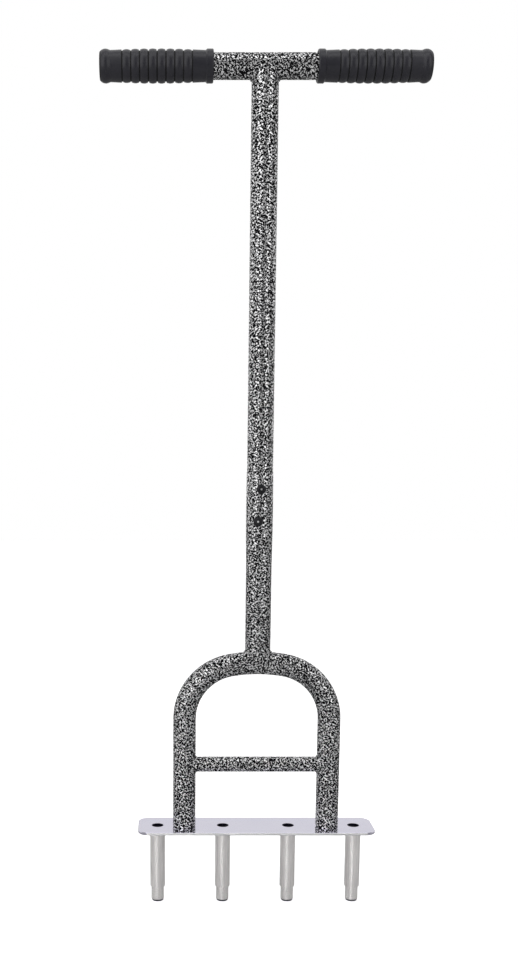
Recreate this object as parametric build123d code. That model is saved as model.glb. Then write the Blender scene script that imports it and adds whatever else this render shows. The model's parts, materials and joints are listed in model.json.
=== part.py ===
from build123d import *
import os
from math import asin, cos, degrees, radians, sqrt

# Lawn aerator fork: a T handle on a two-piece shaft, an arched two-leg fork with a foot bar, and a
# flat base plate that carries four hollow coring tines.
# Millimetres. Origin: centre of the plane that the tine tips stand on. +X runs along the handle,
# +Z up the shaft, and -Y is the side with the shaft screws' heads.

# Driving dimensions
HEIGHT = 914.4  # tine tips to the top of the grips
HANDLE_WIDTH = 339.7  # over both grips
PLATE_LENGTH = 266.7
PLATE_TOP = 88.9  # upper face of the base plate above the tine tips
SHAFT_D = 28.0  # both shaft tubes
BAR_D = 25.4  # handle bar
ARCH_D = 25.4
STEP_D = 17.0
TUBE_WALL = 1.5
SLIP = 0.05  # radial gap of a push fit

# Grips
GRIP_LENGTH = 116.5
GRIP_RIDGE_D = 32.1
GRIP_PLAIN_D = 29.4
GRIP_SWELL_D = 30.4  # the plain stretches beside the ridges
GRIP_COLLAR_D = 32.0
GRIP_COLLAR_LENGTH = 6.6
GRIP_END_RING_D = 31.7
GRIP_END_RING_LENGTH = 9.5
GRIP_END_WALL = 3.5
GRIP_EDGE = 1.4  # rounding of the collar and of the closed end
RIDGE_COUNT = 8
RIDGE_PITCH = 8.95
RIDGE_WIDTH = 7.6
RIDGE_CROWN = 0.8  # crest above a ridge's own edges
RIDGE_FIRST = 26.3  # inner end of the grip to the first crest
GRIP_CROWN = 0.6  # how much lower the outermost ridges are than the middle ones
GROOVE_D = 28.4

# Shaft joint
SEAM_Z = 487.3
INSERT_LENGTH = 80.0
INSERT_D = 25.4
SOCKET_RIM_D = 28.6
SOCKET_BULGE_D = 29.1
SOCKET_BULGE_DEPTH = 45.0  # seam to the widest part of the socket
SOCKET_LENGTH = 100.0
SOCKET_CHAMFER = 0.6
NECK_LENGTH = 2.1  # cone from the full tube to the insert
NECK_PROUD = 1.1  # how much of that cone stands above the seam

# Fork
ARCH_TOP_Z = 276.9  # centre line of the tube at the crown
LEG_X = 81.1
CROWN_RADIUS = 175.0  # centre-line radius across the top
SHOULDER_RADIUS = 62.0  # centre-line radius of the two side bends
SHAFT_LIP = 3.5  # how far from a cross tube's centre line the shaft's front and back edges stop
STEP_Z = 160.7

# Base plate and tines
PLATE_DEPTH = 55.0
PLATE_THICKNESS = 3.0
PLATE_CORNER = 12.0
PLATE_EDGE = 0.5
TINE_PITCH = 74.3
TINE_COUNT = 4
TINE_D = 17.0
TINE_BORE = 13.3
TIP_D = 14.3
TIP_BORE = 10.8
TIP_LENGTH = 16.7
TIP_BEVEL_HEIGHT = 2.2
TIP_BEVEL_DEPTH = 0.95
TINE_SHOULDER = 0.6  # height of the step from the tip to the body
BORE_CONE = 3.0

# Welds
SHAFT_WELD_R = 2.0
STEP_WELD = 1.8
TINE_WELD = 2.5
ARC_MID = 1 - sqrt(0.5)  # middle of a quarter-round edge, as a share of its radius from both sides

# Screws through the shaft joint: M6 button heads with hex nuts behind
SCREW_HEIGHTS = (468.8, 434.1)
SCREW_TURNS = (2.0, -10.0)  # degrees about the shaft, as drilled
SCREW_D = 6.0
SCREW_LENGTH = 35.0
SCREW_HEAD_D = 10.5
SCREW_HEAD_HEIGHT = 3.3
SCREW_SOCKET = 4.0
SCREW_SOCKET_DEPTH = 2.1
SCREW_HOLE_D = 6.4
NUT_ACROSS_FLATS = 10.0
NUT_HEIGHT = 5.2
NUT_CHAMFER = 0.5

# Screws that hold the plate to the legs: M8 button heads from below into threaded plugs
BOLT_D = 8.0
BOLT_LENGTH = 20.0
BOLT_HEAD_D = 14.0
BOLT_HEAD_HEIGHT = 4.4
BOLT_SOCKET = 5.0
BOLT_SOCKET_DEPTH = 2.6
BOLT_HOLE_D = 9.0
LOCK_WASHER_D = 14.8
LOCK_WASHER_BORE = 8.3
LOCK_WASHER_THICKNESS = 2.0
LOCK_WASHER_GAP = 1.6
PLUG_HEIGHT = 15.0
PLUG_CHAMFER = 1.0
HEAD_FLAT = 0.45  # a button head's flat top, as a share of its diameter
HEAD_RIM = 0.2  # its straight rim, as a share of the head's height
HEAD_DOME_RISE = 0.72  # where its dome is fullest, as a share of the head's height
HEAD_DOME_SWELL = 0.22  # how far the dome stands out of a plain cone there, as a share of that height

# Worked out from the above
HANDLE_Z = HEIGHT - GRIP_RIDGE_D / 2
SHAFT_R = SHAFT_D / 2
PLATE_BOTTOM = PLATE_TOP - PLATE_THICKNESS
SEAT_R = SOCKET_BULGE_D / 2
TINE_XS = [(i - (TINE_COUNT - 1) / 2) * TINE_PITCH for i in range(TINE_COUNT)]
SHOULDER_SWEEP = degrees(asin((LEG_X - SHOULDER_RADIUS) / (CROWN_RADIUS - SHOULDER_RADIUS)))
BEND_Z = ARCH_TOP_Z - CROWN_RADIUS + (CROWN_RADIUS - SHOULDER_RADIUS) * cos(radians(SHOULDER_SWEEP))


def turned(outline):
    """Solid of revolution about Z from a closed outline of edges drawn as (radius, height)."""
    return revolve(Plane.XZ * make_face(outline), Axis.Z)


def turned_points(points):
    return turned(Polyline(*points, close=True))


def rod(diameter, low, high):
    """Round bar on the Z axis between two heights."""
    return Pos(0, 0, (low + high) / 2) * Cylinder(diameter / 2, high - low)


def rod_along_x(diameter, length):
    return Rot(0, 90, 0) * Cylinder(diameter / 2, length)


def tube_along_x(diameter, length):
    return rod_along_x(diameter, length) - rod_along_x(diameter - 2 * TUBE_WALL, length)


def both_sides(shape):
    """The shape and its mirror image across the middle of the tool."""
    return [shape, mirror(shape, Plane.YZ)]


def hexagon_prism(across_flats, height):
    return extrude(RegularPolygon(across_flats / 2, 6, major_radius=False), height)


def button_screw(diameter, length, head_d, head_height, socket, socket_depth):
    """Button-head screw: the head stands on Z = 0 and the shank hangs below it."""
    head_r = head_d / 2
    flat_r = head_r * HEAD_FLAT
    rim = (head_r, head_height * HEAD_RIM)
    top = (flat_r, head_height)
    fullest = ((head_r + flat_r) / 2 + head_height * HEAD_DOME_SWELL, head_height * HEAD_DOME_RISE)
    dome = ThreePointArc(rim, fullest, top)
    sides = Polyline(top, (0, head_height), (0, 0), (head_r, 0), rim)
    recess = Pos(0, 0, head_height - socket_depth) * hexagon_prism(socket, head_height)
    return turned([dome, sides]) - recess + rod(diameter, -length, 0)


def hex_nut(across_flats, height, bore, chamfer_size):
    """Hex nut standing on Z = 0, with its corners turned off at both faces."""
    corner_r = across_flats / sqrt(3)
    barrel = chamfer(Cylinder(corner_r, height).edges().filter_by(GeomType.CIRCLE), chamfer_size)
    return (hexagon_prism(across_flats, height) & Pos(0, 0, height / 2) * barrel) - rod(bore, 0, height)


def grip_outline():
    """Half section of a grip: (radius, distance from its inner end)."""
    plain = GRIP_PLAIN_D / 2
    collar = GRIP_COLLAR_D / 2
    swell = GRIP_SWELL_D / 2
    groove = GROOVE_D / 2
    bore = BAR_D / 2 + SLIP
    middle = (RIDGE_COUNT - 1) / 2
    gap = RIDGE_PITCH - RIDGE_WIDTH
    first_groove = RIDGE_FIRST - RIDGE_WIDTH / 2 - gap
    ring = GRIP_END_RING_D / 2
    ring_start = GRIP_LENGTH - GRIP_END_RING_LENGTH
    end_mid = GRIP_LENGTH - GRIP_END_RING_LENGTH / 2

    edge_mid = GRIP_EDGE * ARC_MID
    edges = [
        Line((bore, 0), (collar - GRIP_EDGE, 0)),
        ThreePointArc((collar - GRIP_EDGE, 0), (collar - edge_mid, edge_mid), (collar, GRIP_EDGE)),
    ]
    last = (groove, first_groove)
    edges.append(Polyline((collar, GRIP_EDGE), (collar, GRIP_COLLAR_LENGTH),
                          (plain, GRIP_COLLAR_LENGTH + GRIP_EDGE), (swell, first_groove), last))
    for i in range(RIDGE_COUNT):
        crest_at = RIDGE_FIRST + i * RIDGE_PITCH
        outwards = (abs(i - middle) - 0.5) / (middle - 0.5)
        crest = GRIP_RIDGE_D / 2 - GRIP_CROWN * outwards**2
        shoulder = crest - RIDGE_CROWN
        start = (shoulder, crest_at - RIDGE_WIDTH / 2)
        stop = (shoulder, crest_at + RIDGE_WIDTH / 2)
        edges.append(Polyline(last, (groove, start[1]), start))
        edges.append(ThreePointArc(start, (crest, crest_at), stop))
        last = (groove, stop[1])
        edges.append(Line(stop, last))
    last_groove = last[1] + gap
    edges.append(Polyline(last, (groove, last_groove), (swell, last_groove), (plain, ring_start - GRIP_EDGE),
                          (ring - GRIP_EDGE / 2, ring_start)))
    ring_end = (ring - GRIP_EDGE * 2, GRIP_LENGTH)
    edges.append(ThreePointArc((ring - GRIP_EDGE / 2, ring_start), (ring, end_mid), ring_end))
    inner_end = GRIP_LENGTH - GRIP_END_WALL
    edges.append(Polyline(ring_end, (0, GRIP_LENGTH), (0, inner_end), (bore, inner_end), (bore, 0)))
    return edges


def make_grip():
    """Right-hand grip, its closed end outwards."""
    inner_x = HANDLE_WIDTH / 2 - GRIP_LENGTH
    return Pos(inner_x, 0, HANDLE_Z) * Rot(0, 90, 0) * turned(grip_outline())


def saddle_bead(centre_z, slope):
    """Weld bead round the shaft where it meets a cross tube. The joint line is two half ellipses,
    one on each side, that fall (slope -1) or rise (slope 1) away from the middle."""
    bead = Part()
    for side in (1, -1):
        plane = Plane(origin=(0, 0, centre_z), x_dir=(side, 0, slope), z_dir=(-slope, 0, side))
        path = plane * EllipticalCenterArc((0, 0), SHAFT_R * sqrt(2), SHAFT_R, start_angle=-90, arc_size=180)
        section = Plane(origin=path @ 0, z_dir=path % 0) * Circle(SHAFT_WELD_R)
        bead += sweep(section, path=path)
    for y in (-SHAFT_R, SHAFT_R):
        bead += Pos(0, y, centre_z) * Sphere(SHAFT_WELD_R)
    return bead


def screw_places():
    """Where each shaft screw's head seats: its axis turned about the shaft, head towards -Y."""
    return [Rot(0, 0, turn) * Pos(0, 0, z) for z, turn in zip(SCREW_HEIGHTS, SCREW_TURNS)]


def drill_screw_holes(shape):
    hole = Rot(90, 0, 0) * Cylinder(SCREW_HOLE_D / 2, 2 * SHAFT_D)
    for place in screw_places():
        shape -= place * hole
    return shape


def make_upper_shaft():
    wall_r = SHAFT_R - TUBE_WALL
    insert_r = INSERT_D / 2
    end_z = SEAM_Z - INSERT_LENGTH
    neck_top = SEAM_Z + NECK_PROUD
    neck_bottom = neck_top - NECK_LENGTH
    head = HANDLE_Z - SHAFT_LIP
    tube = turned_points([
        (wall_r, head), (SHAFT_R, head), (SHAFT_R, neck_top), (insert_r, neck_bottom),
        (insert_r, end_z), (insert_r - TUBE_WALL, end_z), (insert_r - TUBE_WALL, neck_bottom),
        (wall_r, neck_top),
    ])
    return drill_screw_holes(tube - Pos(0, 0, HANDLE_Z) * rod_along_x(BAR_D, HANDLE_WIDTH))


def make_lower_shaft(arch_core):
    """Tube whose top end is opened out over the upper shaft's insert and whose foot is coped to the arch."""
    rim_r = SOCKET_RIM_D / 2
    bulge_z = SEAM_Z - SOCKET_BULGE_DEPTH
    socket_end = SEAM_Z - SOCKET_LENGTH
    foot = ARCH_TOP_Z + SHAFT_LIP
    inner_rim = (rim_r - TUBE_WALL, SEAM_Z - 2 * SOCKET_CHAMFER)
    outline = [
        Polyline((rim_r - TUBE_WALL + SOCKET_CHAMFER, SEAM_Z), (rim_r, SEAM_Z)),
        ThreePointArc((rim_r, SEAM_Z), (SEAT_R, bulge_z), (SHAFT_R, socket_end)),
        Polyline((SHAFT_R, socket_end), (SHAFT_R, foot), (SHAFT_R - TUBE_WALL, foot),
                 (SHAFT_R - TUBE_WALL, socket_end)),
        ThreePointArc((SHAFT_R - TUBE_WALL, socket_end), (SEAT_R - TUBE_WALL, bulge_z), inner_rim),
        Line(inner_rim, (rim_r - TUBE_WALL + SOCKET_CHAMFER, SEAM_Z)),
    ]
    return drill_screw_holes(turned(outline) - arch_core)


def arch_path():
    """Centre line of the fork's tube: up one leg, over the crown and down the other."""
    foot = (-LEG_X, PLATE_TOP)
    left_leg = Line(foot, (-LEG_X, BEND_Z))
    left_bend = JernArc(left_leg @ 1, left_leg % 1, SHOULDER_RADIUS, SHOULDER_SWEEP - 90)
    crown = JernArc(left_bend @ 1, left_bend % 1, CROWN_RADIUS, -2 * SHOULDER_SWEEP)
    right_bend = JernArc(crown @ 1, crown % 1, SHOULDER_RADIUS, SHOULDER_SWEEP - 90)
    right_leg = Line(right_bend @ 1, (LEG_X, PLATE_TOP))
    return Plane.XZ * Wire([left_leg, left_bend, crown, right_bend, right_leg])


def along_arch(diameter):
    path = arch_path()
    section = Plane(origin=path @ 0, z_dir=path % 0) * Circle(diameter / 2)
    return sweep(section, path=path)


def make_base_plate():
    outline = RectangleRounded(PLATE_LENGTH, PLATE_DEPTH, PLATE_CORNER)
    blank = Pos(0, 0, PLATE_BOTTOM) * extrude(outline, PLATE_THICKNESS)
    faces = [blank.faces().sort_by(Axis.Z)[i] for i in (0, -1)]
    plate = chamfer([edge for face in faces for edge in face.edges()], PLATE_EDGE)
    for x in TINE_XS:
        plate -= Pos(x, 0, 0) * rod(TINE_BORE, PLATE_BOTTOM, PLATE_TOP)
    for x in (-LEG_X, LEG_X):
        plate -= Pos(x, 0, 0) * rod(BOLT_HOLE_D, PLATE_BOTTOM, PLATE_TOP)
    return plate


def make_tine():
    """Hollow coring tine: a tube drawn down at its foot and sharpened from the outside."""
    bore_r = TINE_BORE / 2
    tip_bore_r = TIP_BORE / 2
    tip_r = TIP_D / 2
    body_r = TINE_D / 2
    return turned_points([
        (tip_bore_r, 0), (tip_r - TIP_BEVEL_DEPTH, 0), (tip_r, TIP_BEVEL_HEIGHT), (tip_r, TIP_LENGTH),
        (body_r, TIP_LENGTH + TINE_SHOULDER), (body_r, PLATE_BOTTOM), (bore_r, PLATE_BOTTOM),
        (bore_r, TIP_LENGTH + BORE_CONE), (tip_bore_r, TIP_LENGTH),
    ])


def make_tine_weld():
    body_r = TINE_D / 2
    return turned_points([
        (body_r, PLATE_BOTTOM - TINE_WELD), (body_r + TINE_WELD, PLATE_BOTTOM), (body_r, PLATE_BOTTOM),
    ])


def make_lock_washer():
    ring = rod(LOCK_WASHER_D, 0, LOCK_WASHER_THICKNESS) - rod(LOCK_WASHER_BORE, 0, LOCK_WASHER_THICKNESS)
    gap = Pos(LOCK_WASHER_D / 2, 0, LOCK_WASHER_THICKNESS / 2) * Box(
        LOCK_WASHER_D, LOCK_WASHER_GAP, 2 * LOCK_WASHER_THICKNESS)
    return ring - gap


def make_leg_plug():
    plug = chamfer(rod(ARCH_D - 2 * TUBE_WALL - 2 * SLIP, 0, PLUG_HEIGHT).edges(), PLUG_CHAMFER)
    return plug - rod(BOLT_D + 2 * SLIP, 0, PLUG_HEIGHT)


arch_core = along_arch(ARCH_D)
arch_frame = arch_core - along_arch(ARCH_D - 2 * TUBE_WALL)
leg_core = Pos(LEG_X, 0, 0) * rod(ARCH_D, PLATE_TOP, ARCH_TOP_Z)
bar_core = Pos(0, 0, HANDLE_Z) * rod_along_x(BAR_D, HANDLE_WIDTH)

bar_length = HANDLE_WIDTH - 2 * GRIP_END_WALL
handle_bar = Pos(0, 0, HANDLE_Z) * tube_along_x(BAR_D, bar_length)
step_bar = Pos(0, 0, STEP_Z) * tube_along_x(STEP_D, 2 * LEG_X)
for core in both_sides(leg_core):
    step_bar -= core

shaft_head = rod(SHAFT_D, SEAM_Z, HANDLE_Z - SHAFT_LIP)
handle_weld = saddle_bead(HANDLE_Z, -1) - shaft_head - bar_core
shaft_foot = rod(SHAFT_D, ARCH_TOP_Z + SHAFT_LIP, SEAM_Z)
arch_weld = saddle_bead(ARCH_TOP_Z, 1) - shaft_foot - arch_core

step_collar = Pos(LEG_X / 2, 0, STEP_Z) * rod_along_x(STEP_D + 2 * STEP_WELD, LEG_X)
leg_collar = Pos(LEG_X, 0, 0) * rod(ARCH_D + 2 * STEP_WELD, PLATE_TOP, ARCH_TOP_Z)
step_weld = (step_collar & leg_collar) - Pos(0, 0, STEP_Z) * rod_along_x(STEP_D, 2 * LEG_X) - leg_core

shaft_screw = Pos(0, -SEAT_R, 0) * Rot(90, 0, 0) * button_screw(
    SCREW_D, SCREW_LENGTH, SCREW_HEAD_D, SCREW_HEAD_HEIGHT, SCREW_SOCKET, SCREW_SOCKET_DEPTH)
shaft_nut = Pos(0, SEAT_R, 0) * Rot(-90, 0, 0) * hex_nut(
    NUT_ACROSS_FLATS, NUT_HEIGHT, SCREW_D + 2 * SLIP, NUT_CHAMFER)

washer_z = PLATE_BOTTOM - LOCK_WASHER_THICKNESS
leg_bolt = Pos(LEG_X, 0, washer_z) * Rot(180, 0, 0) * button_screw(
    BOLT_D, BOLT_LENGTH, BOLT_HEAD_D, BOLT_HEAD_HEIGHT, BOLT_SOCKET, BOLT_SOCKET_DEPTH)

parts = {
    "handle_bar": handle_bar,
    "upper_shaft": make_upper_shaft(),
    "handle_weld": handle_weld,
    "lower_shaft": make_lower_shaft(arch_core),
    "arch_frame": arch_frame,
    "arch_weld": arch_weld,
    "step_bar": step_bar,
    "base_plate": make_base_plate(),
}
pairs = {
    "grip": make_grip(),
    "step_bar_weld": step_weld,
    "leg_plug": Pos(LEG_X, 0, PLATE_TOP) * make_leg_plug(),
    "leg_bolt": leg_bolt,
    "leg_lock_washer": Pos(LEG_X, 0, washer_z) * make_lock_washer(),
}
for name, right_shape in pairs.items():
    parts[f"right_{name}"] = right_shape
    parts[f"left_{name}"] = mirror(right_shape, Plane.YZ)
for level, place in zip(("upper", "lower"), screw_places()):
    parts[f"{level}_shaft_screw"] = place * shaft_screw
    parts[f"{level}_shaft_nut"] = place * shaft_nut
for number, x in enumerate(TINE_XS, 1):
    parts[f"tine_{number}"] = Pos(x, 0, 0) * make_tine()
    parts[f"tine_weld_{number}"] = Pos(x, 0, 0) * make_tine_weld()

os.makedirs("parts", exist_ok=True)
for name, shape in parts.items():
    export_step(shape, f"parts/{name}.step")
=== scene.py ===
import json
from math import cos, pi, radians, sin, sqrt

import bmesh
import bpy
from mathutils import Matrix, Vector


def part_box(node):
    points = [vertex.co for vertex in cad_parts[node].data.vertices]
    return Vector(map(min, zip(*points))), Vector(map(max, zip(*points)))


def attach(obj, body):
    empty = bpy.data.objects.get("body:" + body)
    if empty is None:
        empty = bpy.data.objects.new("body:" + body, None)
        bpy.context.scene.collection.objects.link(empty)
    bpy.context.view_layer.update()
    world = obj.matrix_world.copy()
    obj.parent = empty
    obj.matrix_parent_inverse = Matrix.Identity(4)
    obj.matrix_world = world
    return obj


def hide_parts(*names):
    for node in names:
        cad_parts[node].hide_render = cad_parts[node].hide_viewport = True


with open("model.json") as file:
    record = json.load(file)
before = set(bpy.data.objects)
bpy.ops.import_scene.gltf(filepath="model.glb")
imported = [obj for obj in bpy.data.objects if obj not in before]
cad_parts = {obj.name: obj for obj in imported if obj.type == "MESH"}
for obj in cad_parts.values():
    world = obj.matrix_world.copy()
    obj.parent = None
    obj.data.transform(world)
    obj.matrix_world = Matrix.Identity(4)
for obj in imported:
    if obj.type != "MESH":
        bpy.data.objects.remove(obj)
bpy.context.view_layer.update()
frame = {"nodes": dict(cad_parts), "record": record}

# Metres, in the CAD frame: +X along the handle, +Z up the shaft, -Y the side with the screw heads.
MM = 0.001

# Camera
CAMERA_AT = (-0.1029, -1.2032, 0.4945)
CAMERA_PITCH = 9.0  # degrees below the horizontal
CAMERA_LENS = 40.82
CAMERA_SHIFT = (0.097, 0.160)

# Stage and light
FLOOR_SIZE = 12.0
FLOOR_PALE = 0.85
FLOOR_GLOW = 0.62
FLOOR_BOUNCE = 0.50
ROOM_FRONT = 0.15  # brightness of the room in front of the object
ROOM_BACK = 0.90  # and behind it
ROOM_TURN = (-0.1, 0.25)  # Y of the directions between which the one becomes the other
LIGHTS = {
    "key": {"at": (-1.75, -2.0, 1.5), "aim": (0, 0, 0.5), "size": (2.8, 3.4), "power": 37},
    "fill": {"at": (1.8, -2.0, 1.35), "aim": (0, 0, 0.5), "size": (1.8, 2.8), "power": 21},
    "side": {"at": (-2.2, 0.3, 0.8), "aim": (0, 0, 0.5), "size": (1.6, 2.2), "power": 3},
    "top": {"at": (0.0, -0.7, 2.5), "aim": (0, 0, 0.8), "size": (2.2, 0.9), "power": 9},
    "low": {"at": (-0.4, -1.4, 0.16), "aim": (0, 0, 0.02), "size": (1.6, 0.3), "power": 0.56, "spread": 13},
}

# Noise
NOISE_SPAN = (0.3, 0.7)  # what a noise node's output mostly stays within
NARROW_SPAN = (0.35, 0.65)  # for a stronger contrast

# Hammered paint
PAINT_BLACK = (0.004, 0.004, 0.005)
FLAKES = ((0.90, 0.90, 0.92), (1.0, 1.0, 1.0))
FLAKE_SIZE = 1.1 * MM
VEIN_SIZE = 1.6 * MM
VEIN_DEPTH = 0.12 * MM
SILVER_LEVEL = (0.075, 0.092)  # heights in the laid noise between which black becomes silver
PATCH_SIZE = 30 * MM
PATCH_SHIFT = 0.015  # how much that height drifts from patch to patch
SIDE_BLEND = 4  # how sharply the pattern changes over from one side to the next
GRAIN_TURN = 31.0  # degrees; keeps the noise's own grid off the tubes' directions
GRAIN_SWIRL = 0.7  # hides the noise's square cells

# Grips
RUBBERS = ((0.008, 0.008, 0.014), (0.014, 0.013, 0.021))
# Painted shade: the bottoms of the grip's grooves are darkened to this
GROOVE_SHADE = (0.003, 0.003, 0.004)
GROOVE_RADIUS = 14.25 * MM
GROOVE_FADE = 0.4 * MM

# Plate
SHEETS = ((0.635, 0.62, 0.725), (0.66, 0.645, 0.74))
SHEARED = (0.66, 0.655, 0.66)
SHEARED_DULLER = 5.0  # times as rough as the sheet
SHEARED_DEPTH = (0.4 * MM, 0.1 * MM)  # how far inside the edges the sheared finish starts and is full
ROLLED_STRETCH = (0.04, 1, 1)  # rolling lines run along X

# Tines
SATINS = ((0.74, 0.725, 0.72), (0.97, 0.945, 0.93))
# Painted shade: the bottom millimetres of each tine's cutting edge are darkened to this
EDGE_SHADE = (0.08, 0.08, 0.09)
# Painted shade: the bore inside each tine is darkened to this
BORE_SHADE = (0.09, 0.09, 0.13)
BORE_REACH = (6.70 * MM, 6.80 * MM)  # distances from the axis between the bore's painted shade and the outside's finish
EDGE_TOP = (1.6 * MM, 2.6 * MM)  # heights where the cutting edge's finish, darkened with painted shade, ends
TIP_TOP = (15 * MM, 19 * MM)  # and where the turned tip's does
DRAWN_STRETCH = (1, 1, 0.03)  # streaks run up the tube
TURNED_STRETCH = (0.3, 0.3, 1)  # turning marks run round it

# Welds
BARE_WELDS = ((0.42, 0.40, 0.39), (0.33, 0.27, 0.22))
WELD_SCALE = (0.12, 0.11, 0.11)

# Black and zinc-plated steel
BLACKENED = ((0.016, 0.016, 0.019), (0.05, 0.05, 0.055))
# Painted glint on wear from the key, in the middle of each shaft screw's socket
GLINT_AND_WEAR = (0.95, 0.95, 0.96)
GLINT_AND_WEAR_SPOT = (0.7 * MM, 1.4 * MM)  # distances from a shaft screw's axis between the painted glint on wear and black
GLINT_AND_WEAR_BACK = (-6 * MM, -5 * MM)  # Y where the wear and painted glint end, inside the tube, so that only the head shows them
SCREW_TURNS = {"upper_shaft_screw": 2.0, "lower_shaft_screw": -10.0}  # degrees about the shaft
ZINCS = ((0.56, 0.58, 0.61), (0.68, 0.69, 0.70))
SPANGLE_SIZE = 2.5 * MM

# Weld beads
RIPPLE_PITCH = 2.4 * MM
RIPPLE_DEPTH = 0.10  # share of a bead's radius
RINGS_PER_RIPPLE = 5
BEAD_SIDES = 16
BEAD_SLIM = 0.9 * MM  # radius where the tubes' sides meet
BEAD_FULL = 1.9 * MM  # and in the corners between them
STEP_BEAD = 1.5 * MM
TINE_BEAD = 1.7 * MM
TINE_BEAD_OUT = 0.3  # its centre outside the tine, as a share of its radius
TINE_BEAD_DOWN = 0.5  # and below the plate
SADDLE_STRETCH = 1.2  # a saddle's length against a flat ring's
CROWN_RADIUS = 175 * MM  # centre line of the arch across its top
SHAFT_LIP = 3.5 * MM  # how far from a cross tube's centre line the shaft's front and back edges stop
LIP_DEPTH = 0.6 * MM  # the bead's centre behind the shaft's front and back faces there


# Node helpers

def new_material(name):
    """Material with an output and one Principled shader."""
    material = bpy.data.materials.new(name)
    material.use_nodes = True
    tree = material.node_tree
    tree.nodes.clear()
    output = tree.nodes.new("ShaderNodeOutputMaterial")
    shader = tree.nodes.new("ShaderNodeBsdfPrincipled")
    tree.links.new(shader.outputs["BSDF"], output.inputs["Surface"])
    return material, tree, shader


def separate(tree, vector):
    """X, Y and Z outputs of a vector."""
    node = tree.nodes.new("ShaderNodeSeparateXYZ")
    tree.links.new(vector, node.inputs["Vector"])
    return node.outputs


def place(tree, stretch=(1, 1, 1)):
    """Position on the object, stretched along the axes."""
    coordinates = tree.nodes.new("ShaderNodeTexCoord")
    mapping = tree.nodes.new("ShaderNodeMapping")
    mapping.inputs["Scale"].default_value = stretch
    tree.links.new(coordinates.outputs["Object"], mapping.inputs["Vector"])
    return mapping.outputs["Vector"]


def noise(tree, vector, size, detail=2.0, distortion=0.0, flat=False):
    """Noise whose grains are about `size` metres across; flat noise doesn't change along Z."""
    node = tree.nodes.new("ShaderNodeTexNoise")
    node.noise_dimensions = "2D" if flat else "3D"
    node.inputs["Distortion"].default_value = distortion
    node.inputs["Scale"].default_value = 1 / size
    node.inputs["Detail"].default_value = detail
    tree.links.new(vector, node.inputs["Vector"])
    return node.outputs["Fac"]


def laid_noise(tree, size):
    """Flat noise laid on the surface from three sides and joined by the way the surface faces, so
    that its grains are equally large all over. It runs from about -0.4 to 0.4. The three sides
    take it from places a metre apart, or they would mirror each other where they meet."""
    coordinates = tree.nodes.new("ShaderNodeTexCoord")
    at = separate(tree, coordinates.outputs["Object"])
    facing = separate(tree, coordinates.outputs["Normal"])
    total = 0.0
    squares = 0.0
    for number, (across, along, side) in enumerate(("YZX", "XZY", "XYZ")):
        flat = tree.nodes.new("ShaderNodeCombineXYZ")
        tree.links.new(at[across], flat.inputs["X"])
        tree.links.new(at[along], flat.inputs["Y"])
        turned = tree.nodes.new("ShaderNodeMapping")
        turned.inputs["Location"].default_value = (number, 0, 0)
        turned.inputs["Rotation"].default_value = (0, 0, radians(GRAIN_TURN))
        tree.links.new(flat.outputs["Vector"], turned.inputs["Vector"])
        grains = noise(tree, turned.outputs["Vector"], size, 0.0, GRAIN_SWIRL, flat=True)
        grains = combine(tree, "SUBTRACT", grains, 0.5)
        faces = combine(tree, "ABSOLUTE", facing[side], 0.0)
        share = combine(tree, "POWER", faces, SIDE_BLEND)
        total = combine(tree, "ADD", combine(tree, "MULTIPLY", grains, share), total)
        squares = combine(tree, "ADD", combine(tree, "MULTIPLY", share, share), squares)
    return combine(tree, "DIVIDE", total, combine(tree, "SQRT", squares, 0.0))


def ramp(tree, factor, low, high, out_low=0.0, out_high=1.0):
    """Number that goes from out_low to out_high while factor goes from low to high."""
    node = tree.nodes.new("ShaderNodeMapRange")
    node.inputs["From Min"].default_value = low
    node.inputs["From Max"].default_value = high
    node.inputs["To Min"].default_value = out_low
    node.inputs["To Max"].default_value = out_high
    tree.links.new(factor, node.inputs["Value"])
    return node.outputs["Result"]


def blend_colours(tree, factor, first, second):
    """Colour from first to second; each is a colour or the output of another node."""
    node = tree.nodes.new("ShaderNodeMix")
    node.data_type = "RGBA"
    tree.links.new(factor, node.inputs["Factor"])
    for value, socket in ((first, node.inputs[6]), (second, node.inputs[7])):
        if isinstance(value, tuple):
            socket.default_value = (*value, 1)
        else:
            tree.links.new(value, socket)
    return node.outputs[2]


def combine(tree, operation, first, second):
    """Math node on two outputs, or an output and a number."""
    node = tree.nodes.new("ShaderNodeMath")
    node.operation = operation
    for value, socket in ((first, node.inputs[0]), (second, node.inputs[1])):
        if isinstance(value, (int, float)):
            socket.default_value = value
        else:
            tree.links.new(value, socket)
    return node.outputs[0]


def bump(tree, height, depth, strength):
    """Surface relief `depth` metres high."""
    node = tree.nodes.new("ShaderNodeBump")
    node.inputs["Strength"].default_value = strength
    node.inputs["Distance"].default_value = depth
    tree.links.new(height, node.inputs["Height"])
    return node.outputs["Normal"]


def link(tree, shader, **sockets):
    """Links outputs to the shader's sockets by name."""
    for name, output in sockets.items():
        tree.links.new(output, shader.inputs[name.replace("_", " ")])


# Materials

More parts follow.
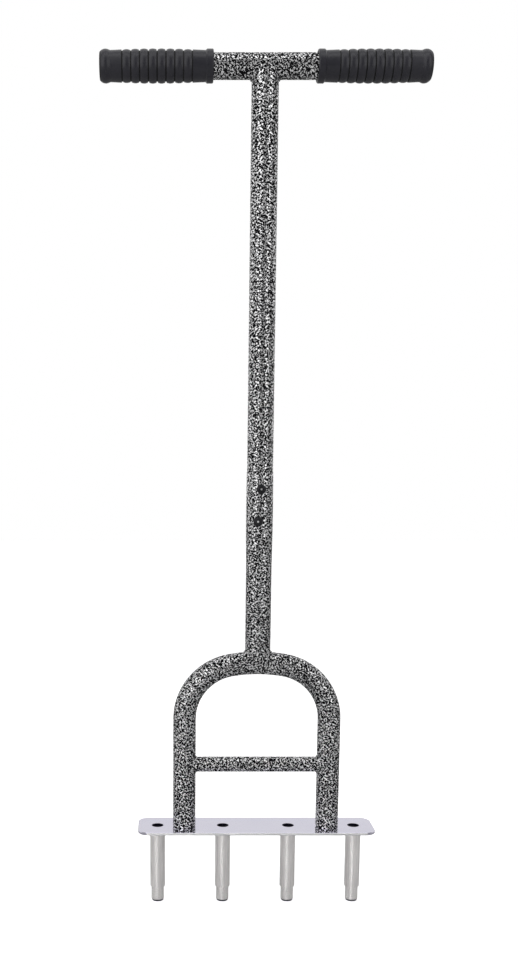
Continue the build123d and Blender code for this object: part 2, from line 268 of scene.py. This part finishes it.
def hammered_paint():
    """Silver vein powder coat: bright, slightly raised flake worms on near-black."""
    material, tree, shader = new_material("hammered_paint")
    vector = place(tree)
    shift = ramp(tree, noise(tree, vector, PATCH_SIZE), *NOISE_SPAN, -PATCH_SHIFT, PATCH_SHIFT)
    silver = ramp(tree, combine(tree, "ADD", laid_noise(tree, VEIN_SIZE), shift), *SILVER_LEVEL)
    flake = ramp(tree, noise(tree, vector, FLAKE_SIZE), *NOISE_SPAN)
    colour = blend_colours(tree, silver, PAINT_BLACK, blend_colours(tree, flake, *FLAKES))
    metallic = ramp(tree, silver, 0.0, 1.0, 0.0, 0.75)
    roughness = ramp(tree, silver, 0.0, 1.0, 0.45, 0.28)
    normal = bump(tree, silver, VEIN_DEPTH, 0.6)
    link(tree, shader, Base_Color=colour, Metallic=metallic, Roughness=roughness, Normal=normal)
    shader.inputs["Specular IOR Level"].default_value = 0.04
    return material


def distance_from(tree, first, second):
    """Distance from an axis, from the two coordinates across it, each less its value on the axis."""
    squares = combine(tree, "MULTIPLY", first, first)
    squares = combine(tree, "ADD", squares, combine(tree, "MULTIPLY", second, second))
    return combine(tree, "SQRT", squares, 0.0)


def grip_rubber():
    """Soft moulded rubber with a fine grain and faint bloom, duller in the grooves and darkened there with
    painted shade.
    """
    material, tree, shader = new_material("grip_rubber")
    vector = place(tree)
    low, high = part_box("handle_bar")
    at = separate(tree, vector)
    above_axis = combine(tree, "SUBTRACT", at["Z"], (low.z + high.z) / 2)
    radius = distance_from(tree, at["Y"], above_axis)
    bloom = ramp(tree, noise(tree, vector, 14 * MM, detail=4), 0.3, 0.75)
    crest = ramp(tree, radius, GROOVE_RADIUS, GROOVE_RADIUS + GROOVE_FADE)
    # Painted shade: the groove bottoms are darkened
    colour = blend_colours(tree, crest, GROOVE_SHADE, blend_colours(tree, bloom, *RUBBERS))
    grain = noise(tree, vector, 0.5 * MM, detail=3)
    roughness = ramp(tree, grain, *NOISE_SPAN, 0.32, 0.44)
    roughness = combine(tree, "MULTIPLY", roughness, ramp(tree, crest, 0.0, 1.0, 2.0, 1.0))
    normal = bump(tree, grain, 0.03 * MM, 0.5)
    link(tree, shader, Base_Color=colour, Roughness=roughness, Normal=normal)
    shader.inputs["Sheen Weight"].default_value = 0.06
    shader.inputs["Sheen Roughness"].default_value = 0.5
    return material


def plate_steel():
    """Polished sheet: faint rolling lines along X, and duller sheared edges at front and back."""
    material, tree, shader = new_material("plate_steel")
    lines = noise(tree, place(tree, ROLLED_STRETCH), 0.6 * MM, detail=3)
    clouds = noise(tree, place(tree), 40 * MM, detail=3)
    half_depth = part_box("base_plate")[1].y
    out = combine(tree, "ABSOLUTE", separate(tree, place(tree))["Y"], 0.0)
    first, last = SHEARED_DEPTH
    flat = ramp(tree, out, half_depth - first, half_depth - last, 1.0, 0.0)
    sheet = blend_colours(tree, ramp(tree, clouds, *NOISE_SPAN), *SHEETS)
    colour = blend_colours(tree, flat, SHEARED, sheet)
    roughness = ramp(tree, lines, 0.3, 0.75, 0.07, 0.15)
    roughness = combine(tree, "MULTIPLY", roughness, ramp(tree, flat, 0.0, 1.0, SHEARED_DULLER, 1.0))
    normal = bump(tree, lines, 0.006 * MM, 0.4)
    link(tree, shader, Base_Color=colour, Roughness=roughness, Normal=normal)
    shader.inputs["Metallic"].default_value = 1.0
    return material


def tine_steel(node):
    """Satin drawn tube: lengthwise streaks, turning marks on the tip, and painted shade darkening the
    bore and the bevelled cutting edge."""
    material, tree, shader = new_material(f"{node}_steel")
    low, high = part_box(node)
    at = separate(tree, place(tree))
    across = combine(tree, "SUBTRACT", at["X"], (low.x + high.x) / 2)
    outside = ramp(tree, distance_from(tree, across, at["Y"]), *BORE_REACH)
    above_edge = ramp(tree, at["Z"], *EDGE_TOP)
    on_body = ramp(tree, at["Z"], *TIP_TOP)
    streaks = noise(tree, place(tree, DRAWN_STRETCH), 0.9 * MM, detail=3)
    turned = noise(tree, place(tree, TURNED_STRETCH), 0.6 * MM, detail=2)
    both = combine(tree, "MULTIPLY", combine(tree, "ADD", turned, streaks), 0.5)
    lines = blend_colours(tree, on_body, ramp(tree, both, *NARROW_SPAN), ramp(tree, streaks, *NARROW_SPAN))
    # Painted shade: the cutting edge's bottom band is darkened
    satin_and_edge_shade = blend_colours(tree, above_edge, EDGE_SHADE, blend_colours(tree, lines, *SATINS))
    # Painted shade: the bore is darkened
    colour = blend_colours(tree, outside, BORE_SHADE, satin_and_edge_shade)
    roughness = ramp(tree, lines, 0.0, 1.0, 0.42, 0.28)
    normal = bump(tree, lines, 0.02 * MM, 0.4)
    link(tree, shader, Base_Color=colour, Roughness=roughness, Normal=normal)
    shader.inputs["Metallic"].default_value = 0.85
    return material


def weld_steel():
    """Bare weld bead, slightly scaled and heat tinted."""
    material, tree, shader = new_material("weld_steel")
    vector = place(tree)
    scale = noise(tree, vector, 1.6 * MM, detail=5)
    tint = ramp(tree, noise(tree, vector, 6 * MM), *NARROW_SPAN)
    bare = blend_colours(tree, tint, *BARE_WELDS)
    colour = blend_colours(tree, ramp(tree, scale, 0.5, 0.7), bare, WELD_SCALE)
    roughness = ramp(tree, scale, *NOISE_SPAN, 0.3, 0.55)
    normal = bump(tree, scale, 0.05 * MM, 0.5)
    link(tree, shader, Base_Color=colour, Roughness=roughness, Normal=normal)
    shader.inputs["Metallic"].default_value = 1.0
    return material


def blacken(tree, shader, glint_and_wear=None):
    """Black oxide, rubbed here and there, and bright where the last argument is 1: wear with a painted
    glint.
    """
    grain = noise(tree, place(tree), 0.8 * MM, detail=5)
    colour = blend_colours(tree, ramp(tree, grain, 0.55, 0.75), *BLACKENED)
    if glint_and_wear is not None:
        colour = blend_colours(tree, glint_and_wear, colour, GLINT_AND_WEAR)
    roughness = ramp(tree, grain, *NOISE_SPAN, 0.24, 0.38)
    normal = bump(tree, grain, 0.02 * MM, 0.4)
    link(tree, shader, Base_Color=colour, Roughness=roughness, Normal=normal)
    shader.inputs["Metallic"].default_value = 0.6


def black_steel():
    """Blackened screw steel."""
    material, tree, shader = new_material("black_steel")
    blacken(tree, shader)
    return material


def shaft_screw_steel(node):
    """The same, bright in the middle of the socket: wear from the key, with a painted glint."""
    material, tree, shader = new_material(f"{node}_steel")
    low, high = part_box(node)
    turn = radians(SCREW_TURNS[node])
    at = separate(tree, place(tree))
    across = combine(tree, "ADD", combine(tree, "MULTIPLY", at["X"], cos(turn)),
                     combine(tree, "MULTIPLY", at["Y"], sin(turn)))
    above = combine(tree, "SUBTRACT", at["Z"], (low.z + high.z) / 2)
    middle = ramp(tree, distance_from(tree, across, above), *GLINT_AND_WEAR_SPOT, 1.0, 0.0)
    in_front = ramp(tree, at["Y"], *GLINT_AND_WEAR_BACK, 1.0, 0.0)
    # Painted glint on wear from the key: the middle of the socket, in front only, turns bright
    blacken(tree, shader, combine(tree, "MULTIPLY", middle, in_front))
    return material


def zinc_steel():
    """Zinc plating: pale, slightly blue, with faint spangle."""
    material, tree, shader = new_material("zinc_steel")
    vector = place(tree)
    spangle = tree.nodes.new("ShaderNodeTexVoronoi")
    spangle.inputs["Scale"].default_value = 1 / SPANGLE_SIZE
    tree.links.new(vector, spangle.inputs["Vector"])
    colour = blend_colours(tree, ramp(tree, spangle.outputs["Distance"], 0.0, 0.9), *ZINCS)
    grain = noise(tree, vector, 0.6 * MM, detail=4)
    roughness = ramp(tree, grain, *NOISE_SPAN, 0.22, 0.38)
    normal = bump(tree, grain, 0.01 * MM, 0.4)
    link(tree, shader, Base_Color=colour, Roughness=roughness, Normal=normal)
    shader.inputs["Metallic"].default_value = 1.0
    return material


# Finishes, by the record's slots

FINISHES = {
    "hammered_paint": hammered_paint(),
    "grip_rubber": grip_rubber(),
    "plate_steel": plate_steel(),
    "weld_steel": weld_steel(),
    "black_steel": black_steel(),
    "zinc_steel": zinc_steel(),
}


def give(node, material):
    """The node's only finish."""
    data = frame["nodes"][node].data
    data.materials.clear()
    data.materials.append(material)


def finish_nodes():
    """Each CAD node gets its slot's finish. Tines and shaft screws get one that follows their own axis."""
    for part in frame["record"]["subparts"]:
        node = part["node"]
        slot = part["material_slot"]
        if slot == "tine_steel":
            give(node, tine_steel(node))
        elif node in SCREW_TURNS:
            give(node, shaft_screw_steel(node))
        else:
            give(node, FINISHES[slot])


# Weld beads

def bead(node, slot, centre_at, radius_at, length):
    """Closed ring of weld in place of a plain CAD one: round sections along a line, rippled like
    overlapping puddles. centre_at and radius_at take the turn round the ring in radians."""
    steps = round(length / RIPPLE_PITCH) * RINGS_PER_RIPPLE
    step = 2 * pi / steps
    corners = [2 * pi * k / BEAD_SIDES for k in range(BEAD_SIDES)]
    mesh = bmesh.new()
    rings = []
    for i in range(steps):
        turn = 2 * pi * i / steps
        centre = centre_at(turn)
        ahead = (centre_at(turn + step) - centre_at(turn - step)).normalized()
        upright = Vector((0, 0, 1)) if abs(ahead.z) < 0.9 else Vector((0, 1, 0))
        side = ahead.cross(upright).normalized()
        up = side.cross(ahead)
        puddle = (i % RINGS_PER_RIPPLE) / RINGS_PER_RIPPLE
        radius = radius_at(turn) * (1 - RIPPLE_DEPTH * puddle**2)
        rings.append([mesh.verts.new(centre + radius * (side * cos(a) + up * sin(a))) for a in corners])
    for i, ring in enumerate(rings):
        after = rings[(i + 1) % steps]
        for k in range(BEAD_SIDES):
            beside = (k + 1) % BEAD_SIDES
            mesh.faces.new((ring[k], ring[beside], after[beside], after[k]))
    bmesh.ops.recalc_face_normals(mesh, faces=mesh.faces)
    add_bead(node, slot, mesh)


def add_bead(node, slot, mesh):
    """Makes the mesh a piece that stands for the node and has the slot's finish."""
    data = bpy.data.meshes.new(f"{node}_bead")
    mesh.to_mesh(data)
    mesh.free()
    data.shade_smooth()
    data.materials.append(FINISHES[slot])
    piece = bpy.data.objects.new(data.name, data)
    bpy.context.scene.collection.objects.link(piece)
    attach(piece, "root")
    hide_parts(node)


def tube_radius(node, axis):
    """Half the width of a tube across its length."""
    low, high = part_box(node)
    return (high - low)[axis] / 2


def saddle_bead(node, cross_node, centre_line, side):
    """Round the shaft's end, where it is coped over a cross tube. centre_line gives that tube's
    centre height at x; side is 1 where the shaft stands on the tube, -1 where it hangs from it."""
    shaft_radius = tube_radius("upper_shaft", 0)
    cross_radius = tube_radius(cross_node, 1)

    def centre_at(turn):
        x = shaft_radius * sin(turn)
        y = shaft_radius * cos(turn)
        rise = sqrt(max(cross_radius**2 - y**2, SHAFT_LIP**2))
        depth = max(LIP_DEPTH - shaft_radius, min(shaft_radius - LIP_DEPTH, y))
        return Vector((x, depth, centre_line(x) + side * rise))

    def radius_at(turn):
        return BEAD_SLIM + (BEAD_FULL - BEAD_SLIM) * abs(sin(turn))

    bead(node, "hammered_paint", centre_at, radius_at, 2 * pi * shaft_radius * SADDLE_STRETCH)


def make_saddle_beads():
    """The T joint under the handle bar, and the shaft's foot on the crown of the arch."""
    low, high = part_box("handle_bar")
    bar_z = (low.z + high.z) / 2
    saddle_bead("handle_weld", "handle_bar", lambda x: bar_z, -1)

    crown_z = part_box("arch_frame")[1].z - tube_radius("arch_frame", 1)
    saddle_bead("arch_weld", "arch_frame",
                lambda x: crown_z - CROWN_RADIUS + sqrt(CROWN_RADIUS**2 - x**2), 1)


def make_step_beads():
    """Round each end of the foot bar, on the inner side of the leg."""
    bar_radius = tube_radius("step_bar", 1)
    leg_radius = tube_radius("arch_frame", 1)
    low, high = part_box("step_bar")
    bar_z = (low.z + high.z) / 2
    leg_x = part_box("arch_frame")[1].x - leg_radius
    for side, name in ((-1, "left"), (1, "right")):
        def centre_at(turn, side=side):
            y = bar_radius * cos(turn)
            x = side * (leg_x - sqrt(leg_radius**2 - y**2))
            return Vector((x, y, bar_z + bar_radius * sin(turn)))

        bead(f"{name}_step_bar_weld", "hammered_paint", centre_at, lambda turn: STEP_BEAD,
             2 * pi * bar_radius)


def make_tine_beads():
    """Round each tine under the plate."""
    for number in (1, 2, 3, 4):
        low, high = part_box(f"tine_{number}")
        middle = (low + high) / 2
        ring = (high.x - low.x) / 2 + TINE_BEAD * TINE_BEAD_OUT
        level = high.z - TINE_BEAD * TINE_BEAD_DOWN

        def centre_at(turn, middle=middle, ring=ring, level=level):
            return Vector((middle.x + ring * cos(turn), middle.y + ring * sin(turn), level))

        bead(f"tine_weld_{number}", "weld_steel", centre_at, lambda turn: TINE_BEAD, 2 * pi * ring)


# Stage

def make_floor():
    """Pale floor. It shows nearly white, and throws less light back than it shows."""
    bpy.ops.mesh.primitive_plane_add(size=FLOOR_SIZE)
    floor = bpy.context.object
    floor.name = "floor"
    material, tree, shown = new_material("floor")
    output = tree.nodes["Material Output"]
    bounced = tree.nodes.new("ShaderNodeBsdfDiffuse")
    bounced.inputs["Color"].default_value = (FLOOR_BOUNCE, FLOOR_BOUNCE, FLOOR_BOUNCE, 1)
    shown.inputs["Base Color"].default_value = (FLOOR_PALE, FLOOR_PALE, FLOOR_PALE, 1)
    shown.inputs["Roughness"].default_value = 0.9
    shown.inputs["Emission Color"].default_value = (1, 1, 1, 1)
    shown.inputs["Emission Strength"].default_value = FLOOR_GLOW
    pick_for_camera(tree, bounced.outputs["BSDF"], shown.outputs["BSDF"], output.inputs["Surface"])
    floor.data.materials.append(material)


def pick_for_camera(tree, others, camera, target):
    """Sends `camera` to the rays that the picture is made of and `others` to every other ray."""
    path = tree.nodes.new("ShaderNodeLightPath")
    pick = tree.nodes.new("ShaderNodeMixShader")
    tree.links.new(path.outputs["Is Camera Ray"], pick.inputs["Fac"])
    tree.links.new(others, pick.inputs[1])
    tree.links.new(camera, pick.inputs[2])
    tree.links.new(pick.outputs["Shader"], target)


def make_room():
    """White room behind the object, dimmer in front of it; the camera sees plain white."""
    world = bpy.data.worlds.new("room")
    bpy.context.scene.world = world
    world.use_nodes = True
    tree = world.node_tree
    tree.nodes.clear()
    output = tree.nodes.new("ShaderNodeOutputWorld")
    direction = separate(tree, tree.nodes.new("ShaderNodeTexCoord").outputs["Generated"])
    strength = ramp(tree, direction["Y"], *ROOM_TURN, ROOM_FRONT, ROOM_BACK)
    room = tree.nodes.new("ShaderNodeBackground")
    tree.links.new(strength, room.inputs["Strength"])
    white = tree.nodes.new("ShaderNodeBackground")
    for background in (room, white):
        background.inputs["Color"].default_value = (1, 1, 1, 1)
    pick_for_camera(tree, room.outputs["Background"], white.outputs["Background"], output.inputs["Surface"])


def make_lights():
    """Soft boxes on both sides, overhead and low in front; the camera doesn't see them."""
    for name, facts in LIGHTS.items():
        data = bpy.data.lights.new(name, "AREA")
        data.shape = "RECTANGLE"
        data.size, data.size_y = facts["size"]
        data.energy = facts["power"]
        data.spread = radians(facts.get("spread", 180))
        light = bpy.data.objects.new(name, data)
        bpy.context.scene.collection.objects.link(light)
        light.location = facts["at"]
        light.rotation_euler = (Vector(facts["aim"]) - light.location).to_track_quat("-Z", "Y").to_euler()
        light.visible_camera = False


def make_camera():
    """In front of the object, a little to its left, looking slightly down."""
    data = bpy.data.cameras.new("camera")
    data.lens = CAMERA_LENS
    data.shift_x, data.shift_y = CAMERA_SHIFT
    camera = bpy.data.objects.new("camera", data)
    bpy.context.scene.collection.objects.link(camera)
    camera.location = CAMERA_AT
    camera.rotation_euler.x = radians(90 - CAMERA_PITCH)
    bpy.context.scene.camera = camera


# Making it

make_camera()
make_room()
make_lights()
make_floor()
finish_nodes()
make_saddle_beads()
make_step_beads()
make_tine_beads()
bpy.context.scene.view_settings.view_transform = "Standard"
